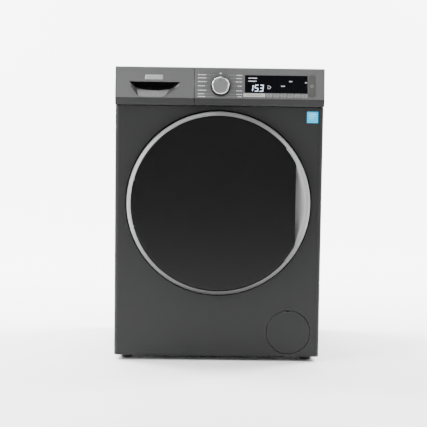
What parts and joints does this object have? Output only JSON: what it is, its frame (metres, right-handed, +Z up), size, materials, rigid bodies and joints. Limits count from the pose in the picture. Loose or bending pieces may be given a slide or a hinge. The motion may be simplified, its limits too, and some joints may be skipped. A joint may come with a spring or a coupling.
{
  "type": "front load washing machine",
  "caption": "Laundry washer with a large round side-hinged door, dark door glass, detergent drawer, program knob, touch keys and a pull-off pump filter cover low at the front.",
  "frame": {"origin": "on the floor, under the middle of the overall box", "axes": "+Z up, +X to the right as seen from the front, the door faces -Y"},
  "size_m": [0.595, 0.5737, 0.845],
  "materials": {
    "alloy": "cast",
    "black_plastic": "fine grain",
    "black_rubber": "matt",
    "board_green": "lacquered",
    "cabinet_paint": "satin graphite paint",
    "clear_glass": "clear",
    "concrete": "cast",
    "dark_glass": "polished",
    "dial_silver": "spun",
    "display": "polished",
    "galvanised": "zinc coated",
    "grey_plastic": "satin",
    "key_grey": "satin",
    "motor_steel": "painted",
    "painted_plastic": "graphite paint",
    "panel_moulding": "satin grey",
    "ring_silver": "silver paint",
    "seal_rubber": "matt",
    "stainless": "brushed",
    "steel": "machined",
    "white_plastic": "satin",
    "worktop_grey": "laminate"
  },
  "bodies": {
    "cabinet": {"cabinet_shell": "cabinet_paint", "rear_service_cover": "galvanised", "front_panel": "cabinet_paint", "worktop": "worktop_grey", "base_tray": "grey_plastic", "front_cross_brace": "galvanised", "spring_beam": "galvanised", "control_fascia": "panel_moulding", "display_window": "display", "control_board": "board_green", "dispenser_housing": "white_plastic", "inlet_valves": "black_plastic", "fill_hoses": "seal_rubber", "drain_pump": "grey_plastic", "drain_hose_inner": "black_rubber", "door_hinge_bracket": "steel", "door_lock": "white_plastic", "mains_gland": "black_plastic", "cabinet_screws": "galvanised", "door_gasket": "seal_rubber", "filter_recess": "grey_plastic", "damper_cylinders": "galvanised", "suspension_springs": "steel"},
    "door": {"door_ring": "ring_silver", "door_cover": "dark_glass", "door_bowl": "clear_glass", "door_inner_frame": "black_plastic", "door_hinge_leaf": "steel"},
    "latch": {"door_latch_hook": "black_plastic"},
    "drawer": {"drawer_front": "panel_moulding", "drawer_tray": "white_plastic"},
    "dial": {"program_dial": "dial_silver"},
    "start_button": {"start_key": "key_grey"},
    "option_button_1": {"option_key_1": "key_grey"},
    "option_button_2": {"option_key_2": "key_grey"},
    "option_button_3": {"option_key_3": "key_grey"},
    "option_button_4": {"option_key_4": "key_grey"},
    "option_button_5": {"option_key_5": "key_grey"},
    "option_button_6": {"option_key_6": "key_grey"},
    "power_button": {"power_key": "key_grey"},
    "filter_cap": {"filter_cover": "painted_plastic"},
    "filter_plug": {"pump_filter": "black_plastic"},
    "tub": {"tub_front": "grey_plastic", "tub_rear": "grey_plastic", "counterweight_front": "concrete", "counterweight_top": "concrete", "motor": "motor_steel", "heater": "steel", "drive_belt": "black_rubber", "drum_bearings": "steel", "damper_rods": "steel"},
    "drum_group": {"drum": "stainless", "drum_paddles": "stainless", "drum_spider": "alloy", "drum_pulley": "alloy"},
    "motor_rotor": {"motor_pulley": "steel"},
    "foot_fl": {"foot_front_left": "black_rubber"},
    "foot_fr": {"foot_front_right": "black_rubber"},
    "foot_rl": {"foot_rear_left": "black_rubber"},
    "foot_rr": {"foot_rear_right": "black_rubber"}
  },
  "joints": [
    {"name": "door_hinge", "type": "hinge", "parent": "cabinet", "child": "door", "pos_m": [-0.236, -0.265, 0.458], "axis": [0, 0, -1], "range_deg": [0, 120]},
    {"name": "latch_pivot", "type": "hinge", "parent": "door", "child": "latch", "pos_m": [0.205, -0.2546, 0.458], "axis": [0, 0, 1], "range_deg": [0, 6], "stiffness_Nm_per_rad": 0.4, "springref_deg": -5.73},
    {"name": "drawer_slide", "type": "slide", "parent": "cabinet", "child": "drawer", "axis": [0, -1, 0], "range_m": [0, 0.19]},
    {"name": "dial_turn", "type": "hinge", "parent": "cabinet", "child": "dial", "pos_m": [0.0015, -0.26306, 0.79071], "axis": [0, -0.9914, 0.1305], "continuous": true},
    {"name": "start_press", "type": "slide", "parent": "cabinet", "child": "start_button", "axis": [0, 0.9914, -0.1305], "range_m": [0, 0.0012], "stiffness_N_per_m": 1500, "springref_m": -0.0005},
    {"name": "option_press_1", "type": "slide", "parent": "cabinet", "child": "option_button_1", "axis": [0, 0.9914, -0.1305], "range_m": [0, 0.0012], "stiffness_N_per_m": 1500, "springref_m": -0.0005},
    {"name": "option_press_2", "type": "slide", "parent": "cabinet", "child": "option_button_2", "axis": [0, 0.9914, -0.1305], "range_m": [0, 0.0012], "stiffness_N_per_m": 1500, "springref_m": -0.0005},
    {"name": "option_press_3", "type": "slide", "parent": "cabinet", "child": "option_button_3", "axis": [0, 0.9914, -0.1305], "range_m": [0, 0.0012], "stiffness_N_per_m": 1500, "springref_m": -0.0005},
    {"name": "option_press_4", "type": "slide", "parent": "cabinet", "child": "option_button_4", "axis": [0, 0.9914, -0.1305], "range_m": [0, 0.0012], "stiffness_N_per_m": 1500, "springref_m": -0.0005},
    {"name": "option_press_5", "type": "slide", "parent": "cabinet", "child": "option_button_5", "axis": [0, 0.9914, -0.1305], "range_m": [0, 0.0012], "stiffness_N_per_m": 1500, "springref_m": -0.0005},
    {"name": "option_press_6", "type": "slide", "parent": "cabinet", "child": "option_button_6", "axis": [0, 0.9914, -0.1305], "range_m": [0, 0.0012], "stiffness_N_per_m": 1500, "springref_m": -0.0005},
    {"name": "power_press", "type": "slide", "parent": "cabinet", "child": "power_button", "axis": [0, 0.9914, -0.1305], "range_m": [0, 0.0012], "stiffness_N_per_m": 1500, "springref_m": -0.0005},
    {"name": "filter_cover_pull", "type": "slide", "parent": "cabinet", "child": "filter_cap", "axis": [0, -1, 0], "range_m": [0, 0.035]},
    {"name": "filter_twist", "type": "hinge", "parent": "cabinet", "child": "filter_plug", "pos_m": [0.2075, -0.228, 0.086], "axis": [0, -1, 0], "range_deg": [0, 90]},
    {"name": "tub_bounce", "type": "slide", "parent": "cabinet", "child": "tub", "axis": [0, 0, 1], "range_m": [-0.008, 0.008], "stiffness_N_per_m": 20000, "springref_m": 0.01757, "deforming": ["suspension_springs", "door_gasket"]},
    {"name": "drum_spin", "type": "hinge", "parent": "tub", "child": "drum_group", "pos_m": [0, 0, 0.458], "axis": [0, -1, 0], "continuous": true},
    {"name": "motor_spin", "type": "hinge", "parent": "tub", "child": "motor_rotor", "pos_m": [-0.045, 0.2, 0.106], "axis": [0, -1, 0], "continuous": true},
    {"name": "level_fl", "type": "slide", "parent": "cabinet", "child": "foot_fl", "axis": [0, 0, -1], "range_m": [0, 0.012]},
    {"name": "level_fr", "type": "slide", "parent": "cabinet", "child": "foot_fr", "axis": [0, 0, -1], "range_m": [0, 0.012]},
    {"name": "level_rl", "type": "slide", "parent": "cabinet", "child": "foot_rl", "axis": [0, 0, -1], "range_m": [0, 0.012]},
    {"name": "level_rr", "type": "slide", "parent": "cabinet", "child": "foot_rr", "axis": [0, 0, -1], "range_m": [0, 0.012]}
  ],
  "couplings": [
    {"joint": "motor_spin", "follows": "drum_spin", "ratio": 12.5}
  ]
}
